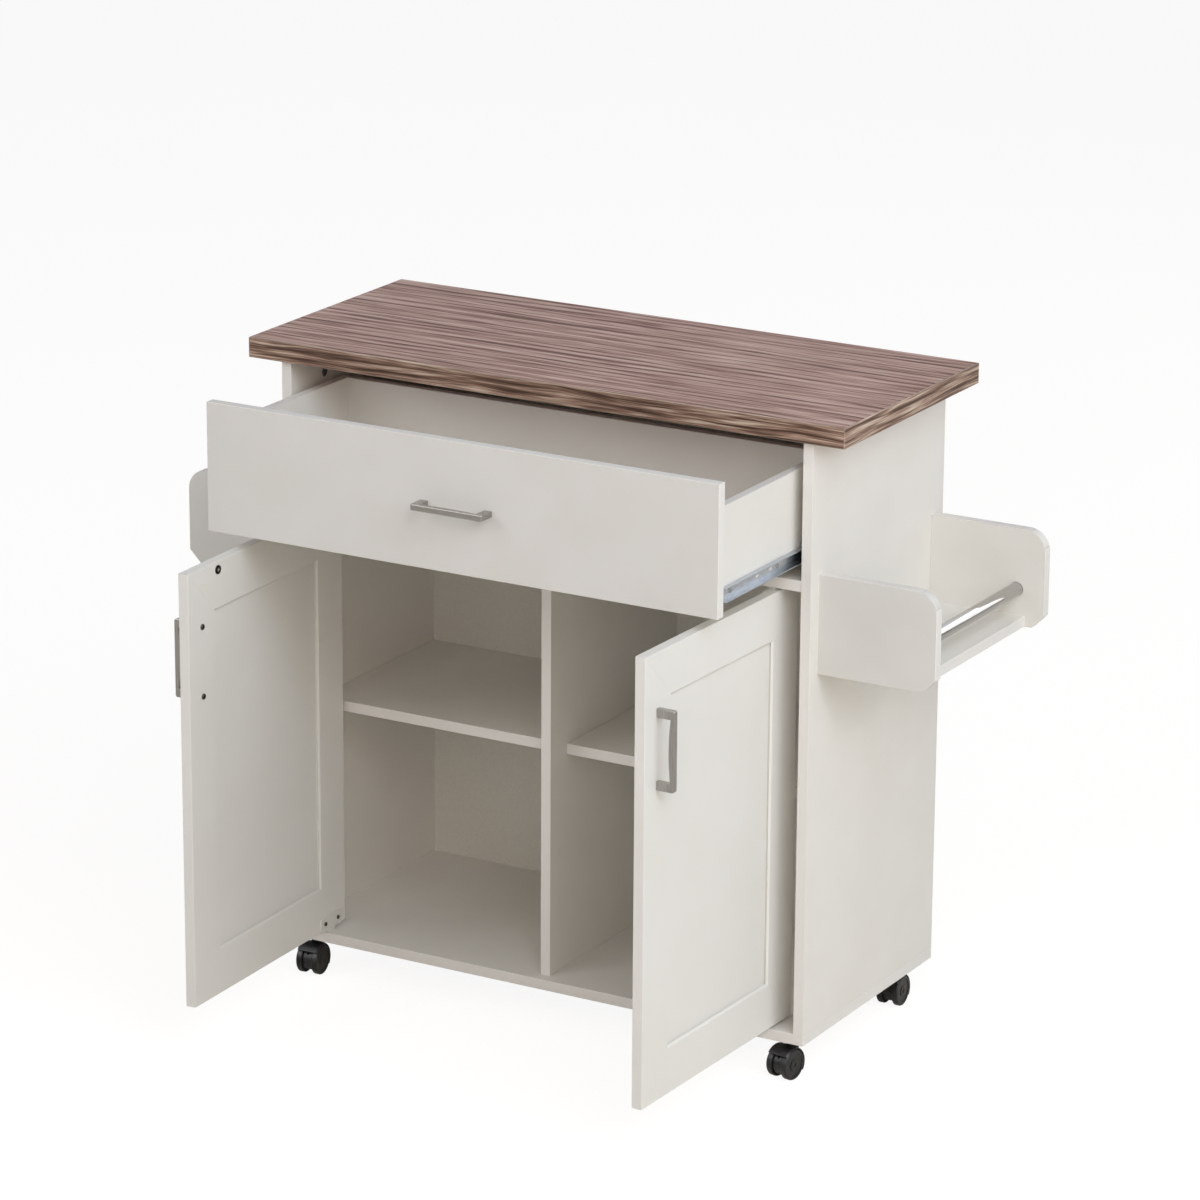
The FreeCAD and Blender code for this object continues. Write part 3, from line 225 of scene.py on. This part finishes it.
def painted_hardboard(name):
    """Hardboard with a white printed face: matt, with the faint pebble of pressed fibre."""
    material, tree = blank(name)
    place = add(tree, "TexCoord").outputs["Object"]
    fibre = add(tree, "TexNoise", {"Vector": place, "Scale": 1 / (2.5 * mm), "Detail": 4.0})
    face = add(tree, "ValToRGB", {"Fac": fibre}, stops=((0.3, "#DEDAD0"), (0.7, "#E7E3DA")))
    bump = add(tree, "Bump", {"Height": fibre, "Strength": 0.3, "Distance": 0.2 * mm})
    shader = add(tree, "BsdfPrincipled", {"Base Color": face, "Roughness": 0.6,
                                          "Normal": bump, "IOR": laminate_ior})
    add(tree, "OutputMaterial", {"Surface": shader})
    return material


def brushed_metal(name, dark, light, long_axis, rough_low, rough_high, glint_spot=None):
    """Drawn or brushed metal: fine lines along one axis that stretch its highlights. What lies
    near the given spot, such as one screw of a set, is painted pale: a painted highlight."""
    material, tree = blank(name)
    place = add(tree, "TexCoord").outputs["Object"]
    line_length, line_width = 30 * mm, 0.4 * mm
    scale = [1 / line_width] * 3
    scale[long_axis] = 1 / line_length
    stretched = add(tree, "Mapping", {"Vector": place, "Scale": scale})
    lines = add(tree, "TexNoise", {"Vector": stretched, "Scale": 1.0, "Detail": 3.0})
    colour = add(tree, "ValToRGB", {"Fac": lines}, stops=((0.3, dark), (0.7, light)))
    if glint_spot:
        # Painted highlight: a pale colour near the given spot stands in for the glint on that screw
        away = add(tree, "VectorMath", [place, glint_spot], operation="DISTANCE")
        near = add(tree, "Math", [away, screw_reach], operation="LESS_THAN")
        colour = add(tree, "Mix", {"Factor": near, "A": colour, "B": linear("#E6E4E0")},
                     data_type="RGBA")
    rough = add(tree, "MapRange", {"Value": lines, "From Min": 0.3, "From Max": 0.7,
                                   "To Min": rough_low, "To Max": rough_high})
    bump = add(tree, "Bump", {"Height": lines, "Strength": 0.15, "Distance": 0.05 * mm})
    shader = add(tree, "BsdfPrincipled", {"Base Color": colour, "Metallic": 1.0,
                                          "Roughness": rough, "Normal": bump})
    add(tree, "OutputMaterial", {"Surface": shader})
    return material


def moulded_plastic(name, dark, light, rough_low, rough_high):
    """Injection-moulded plastic: a fine spark-eroded grain breaks up a soft sheen."""
    material, tree = blank(name)
    place = add(tree, "TexCoord").outputs["Object"]
    grain = add(tree, "TexNoise", {"Vector": place, "Scale": 1 / (0.8 * mm), "Detail": 3.0})
    cloud = add(tree, "TexNoise", {"Vector": place, "Scale": 1 / (14 * mm), "Detail": 3.0})
    colour = add(tree, "ValToRGB", {"Fac": cloud}, stops=((0.35, dark), (0.65, light)))
    rough = add(tree, "MapRange", {"Value": cloud, "From Min": 0.3, "From Max": 0.7,
                                   "To Min": rough_low, "To Max": rough_high})
    bump = add(tree, "Bump", {"Height": grain, "Strength": 0.2, "Distance": 0.1 * mm})
    shader = add(tree, "BsdfPrincipled", {"Base Color": colour, "Roughness": rough,
                                          "Normal": bump, "IOR": plastic_ior})
    add(tree, "OutputMaterial", {"Surface": shader})
    return material


# Finishes by the record's slots; the boards and the worktop each get one of their own
finishes = {
    "door_foil": foil_wrap("white_door_foil"),
    "hardboard": painted_hardboard("white_hardboard"),
    "zinc_steel": brushed_metal("zinc_plated_steel", "#B4BBC4", "#D3D8DE", 1, 0.24, 0.36),
    "ball_cage": brushed_metal("pressed_steel_cage", "#9B9D9F", "#B5B7B9", 1, 0.3, 0.42),
    "screw_steel": brushed_metal("nickel_plated_screws", "#A6A6A4", "#C2C1BE", 0, 0.22, 0.34),
    "black_steel": brushed_metal("blackened_steel", "#1E1E1F", "#2C2C2D", 1, 0.3, 0.42),
    "cam_zinc": brushed_metal("die_cast_zinc", "#8E9093", "#A9ABAE", 0, 0.38, 0.5),
    "chromed_tube": brushed_metal("chromed_tube", "#B5B3B1", "#C8C6C4", 1, 0.05, 0.09),
    "white_plastic": moulded_plastic("white_plastic", "#DEDCD6", "#E6E4DF", 0.38, 0.5),
    "black_nylon": moulded_plastic("black_nylon", "#141415", "#1E1E20", 0.32, 0.46),
}
satin_nickel_along = {
    "drawer_handle": brushed_metal("satin_nickel_level", "#9A9793", "#BAB7B3", 0, 0.2, 0.32),
    "door_left_handle": brushed_metal("satin_nickel_upright", "#9A9793", "#BAB7B3", 2, 0.2, 0.32),
}
satin_nickel_along["door_right_handle"] = satin_nickel_along["door_left_handle"]

for name, piece in nodes.items():
    slot = slot_of[name]
    if slot == "worktop_laminate":
        finish = walnut_laminate(name)
    # The boards facing the front get a darker tone of the same melamine: painted shade, for the
    # lesser light on faces turned to the front
    elif name in ("drawer_front", "rack_left_front", "rack_right_front"):
        finish = faced_board(name, "#DCDAD5", "#DFDDD9")
    elif slot == "faced_board":
        finish = faced_board(name, "#E7E4DD", "#EAE7E1")
    elif slot == "satin_nickel":
        finish = satin_nickel_along[name]
    # The door screws are painted dark: painted shade standing in for their recessed heads; the
    # strike screw gets a painted highlight
    elif name in ("door_left_screws", "door_right_screws"):
        strike_low, strike_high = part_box(name.replace("screws", "strike"))
        finish = brushed_metal("painted_shade_" + name, "#57504A", "#7A736B", 0, 0.2, 0.3,
                               (strike_low + strike_high) / 2)
    else:
        finish = finishes[slot]
    piece.material_slots[0].material = finish


# Camera: its direction, turn and distance, and how far the aim point lies off its axis
photo_pixels = 1200
focal_pixels = 5158.1
sensor_width = 36.0              # millimetres
azimuth = math.radians(29.8759)
elevation = math.radians(17.2071)
roll = math.radians(0.3474)
camera_distance = 7.04553
aim = Vector((0.0, 0.16709, 0.454))
aim_right = 0.01411
aim_up = -0.09835
nearest_seen = 0.1
farthest_seen = 200.0

back = Vector((math.sin(azimuth) * math.cos(elevation),
               -math.cos(azimuth) * math.cos(elevation), math.sin(elevation)))
level = Vector((math.cos(azimuth), math.sin(azimuth), 0.0))
upright = back.cross(level)
right = level * math.cos(roll) + upright * math.sin(roll)
up = upright * math.cos(roll) - level * math.sin(roll)
place = aim - right * aim_right - up * aim_up + back * camera_distance

camera = bpy.data.objects.new("camera", bpy.data.cameras.new("camera"))
bpy.context.scene.collection.objects.link(camera)
camera.matrix_world = Matrix((
    (right.x, up.x, back.x, place.x), (right.y, up.y, back.y, place.y),
    (right.z, up.z, back.z, place.z), (0, 0, 0, 1)))
camera.data.sensor_width = sensor_width
camera.data.lens = focal_pixels / photo_pixels * sensor_width
camera.data.clip_start = nearest_seen
camera.data.clip_end = farthest_seen
bpy.context.scene.camera = camera


# Lamps: large and soft, all turned to the middle of the island
lamp_centre = Vector((0.0, 0.1, 0.45))
lamp_distance = 4.4
lamp_size = 2.4


def softbox(name, way, power, colour):
    """Square soft lamp on the given side of the island: power in watts, tint as sRGB."""
    lamp = bpy.data.lights.new(name, "AREA")
    lamp.shape = "SQUARE"
    lamp.size = lamp_size
    lamp.energy = power
    lamp.color = linear(colour)[:3]
    box = bpy.data.objects.new(name, lamp)
    bpy.context.scene.collection.objects.link(box)
    way = Vector(way).normalized()
    box.location = lamp_centre + way * lamp_distance
    box.rotation_euler = way.to_track_quat("Z", "Y").to_euler()


softbox("key_right", (0.62, -0.45, 0.64), 71, "#E6F3FF")
softbox("side_window", (0.93, -0.10, 0.35), 43, "#FAFEFF")
softbox("warm_front", (0.55, -0.68, 0.42), 21, "#FFD4A3")
softbox("low_front", (0.30, -0.90, 0.25), 17, "#FFFFFF")
softbox("front_left", (-0.50, -0.70, 0.50), 40, "#FFFDFC")
softbox("rear_fill", (0.35, 0.90, 0.30), 26, "#FFFFFF")

# Studio: a pale floor, which the camera sees nearly white, and a white surround
white = (1, 1, 1, 1)
floor_size = 60.0
floor_drop = 0.3 * mm            # keeps the floor just clear of the wheels
floor_glow = 1.06
camera_share = 0.85              # how much of the glow the camera sees in place of the paint
bpy.ops.object.select_all(action="DESELECT")
bpy.ops.mesh.primitive_plane_add(size=floor_size, location=(0, 0, -floor_drop))
floor = bpy.context.object
floor.name = "studio_floor"
material, tree = blank("studio_floor")
paint = add(tree, "BsdfDiffuse", {"Color": linear("#F8F3EA"), "Roughness": 0.9})
glow = add(tree, "Emission", {"Color": white, "Strength": floor_glow})
rays = add(tree, "LightPath")
share = add(tree, "Math", [rays.outputs["Is Camera Ray"], camera_share],
            operation="MULTIPLY")
add(tree, "OutputMaterial", {"Surface": add(tree, "MixShader", [share, paint, glow])})
floor.data.materials.append(material)

# The camera sees white; gloss mirrors a room that is bright overhead and dim at the horizon
world = bpy.data.worlds.new("studio")
world.use_nodes = True
world.node_tree.nodes.clear()
tree = world.node_tree
height = add(tree, "SeparateXYZ", [add(tree, "TexCoord").outputs["Generated"]]).outputs["Z"]
room = add(tree, "ValToRGB", {"Fac": height}, stops=(
    (0.0, "#6F6A66"), (0.12, "#8B8784"), (0.35, "#E4E6EA"), (0.6, "#FFFFFF")))
rays = add(tree, "LightPath")
light = add(tree, "Mix", {"Factor": rays.outputs["Is Glossy Ray"], "A": linear("#7C7D83"),
                          "B": room}, data_type="RGBA")
sky = add(tree, "Mix", {"Factor": rays.outputs["Is Camera Ray"], "A": light, "B": white},
          data_type="RGBA")
add(tree, "OutputWorld", {"Surface": add(tree, "Background", {"Color": sky, "Strength": 1.0})})
bpy.context.scene.world = world
bpy.context.scene.view_settings.view_transform = "Standard"
